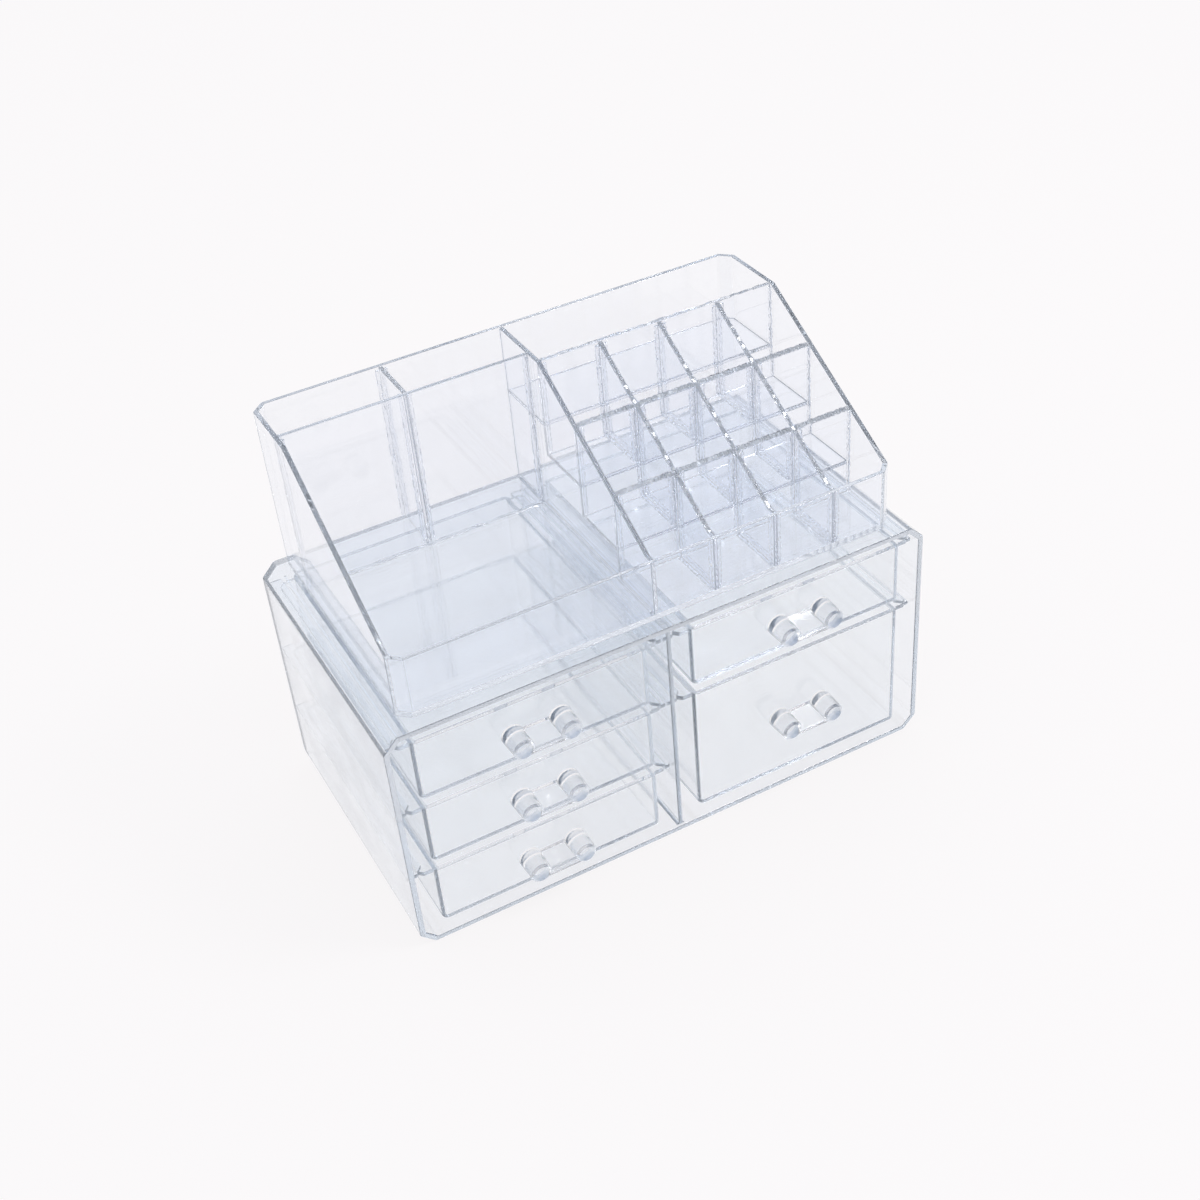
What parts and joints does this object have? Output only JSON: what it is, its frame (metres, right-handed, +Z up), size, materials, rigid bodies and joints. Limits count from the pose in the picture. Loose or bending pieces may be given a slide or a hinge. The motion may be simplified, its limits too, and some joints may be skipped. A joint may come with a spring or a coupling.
{
  "type": "vanity organizer",
  "caption": "Clear plastic vanity organizer: a bevelled drawer case with flanged pull-out drawers under a lift-off tray with stepped lipstick slots.",
  "frame": {"origin": "middle of the case's flat base, on the plane the organizer stands on", "axes": "+X to the organizer's right as seen from the front, +Y to the rear (drawers open towards -Y), +Z up"},
  "size_m": [0.24, 0.1405, 0.1825],
  "materials": {
    "case_plastic": "clear polished polystyrene, faint cool grey in thick sections",
    "drawer_plastic": "clear polished polystyrene",
    "pull_plastic": "clear polished polystyrene, thick section",
    "tray_plastic": "clear polished polystyrene"
  },
  "bodies": {
    "case": {"drawer_case": "case_plastic", "centre_divider": "case_plastic", "left_upper_wall_runner": "case_plastic", "left_upper_divider_runner": "case_plastic", "left_middle_wall_runner": "case_plastic", "left_middle_divider_runner": "case_plastic", "left_lower_wall_runner": "case_plastic", "left_lower_divider_runner": "case_plastic", "right_upper_wall_runner": "case_plastic", "right_upper_divider_runner": "case_plastic", "right_lower_wall_runner": "case_plastic", "right_lower_divider_runner": "case_plastic"},
    "left_upper": {"left_upper_drawer": "drawer_plastic", "left_upper_pull": "pull_plastic"},
    "left_middle": {"left_middle_drawer": "drawer_plastic", "left_middle_pull": "pull_plastic"},
    "left_lower": {"left_lower_drawer": "drawer_plastic", "left_lower_pull": "pull_plastic"},
    "right_upper": {"right_upper_drawer": "drawer_plastic", "right_upper_pull": "pull_plastic"},
    "right_lower": {"right_lower_drawer": "drawer_plastic", "right_lower_pull": "pull_plastic"},
    "tray": {"tray_shell": "tray_plastic", "tray_centre_partition": "tray_plastic", "left_rear_panel": "tray_plastic", "left_cross_partition": "tray_plastic", "grid_wall_rear": "tray_plastic", "grid_wall_middle": "tray_plastic", "grid_wall_front": "tray_plastic", "grid_step_lower": "tray_plastic", "grid_step_middle": "tray_plastic", "grid_step_upper": "tray_plastic", "grid_column_left": "tray_plastic", "grid_column_middle": "tray_plastic", "grid_column_right": "tray_plastic"}
  },
  "joints": [
    {"name": "left_upper_slide", "type": "slide", "parent": "case", "child": "left_upper", "axis": [0, -1, 0], "range_m": [0, 0.1]},
    {"name": "left_middle_slide", "type": "slide", "parent": "case", "child": "left_middle", "axis": [0, -1, 0], "range_m": [0, 0.1]},
    {"name": "left_lower_slide", "type": "slide", "parent": "case", "child": "left_lower", "axis": [0, -1, 0], "range_m": [0, 0.1]},
    {"name": "right_upper_slide", "type": "slide", "parent": "case", "child": "right_upper", "axis": [0, -1, 0], "range_m": [0, 0.1]},
    {"name": "right_lower_slide", "type": "slide", "parent": "case", "child": "right_lower", "axis": [0, -1, 0], "range_m": [0, 0.1]},
    {"name": "tray_lift", "type": "slide", "parent": "case", "child": "tray", "axis": [0, 0, 1], "range_m": [0, 0.08]}
  ]
}
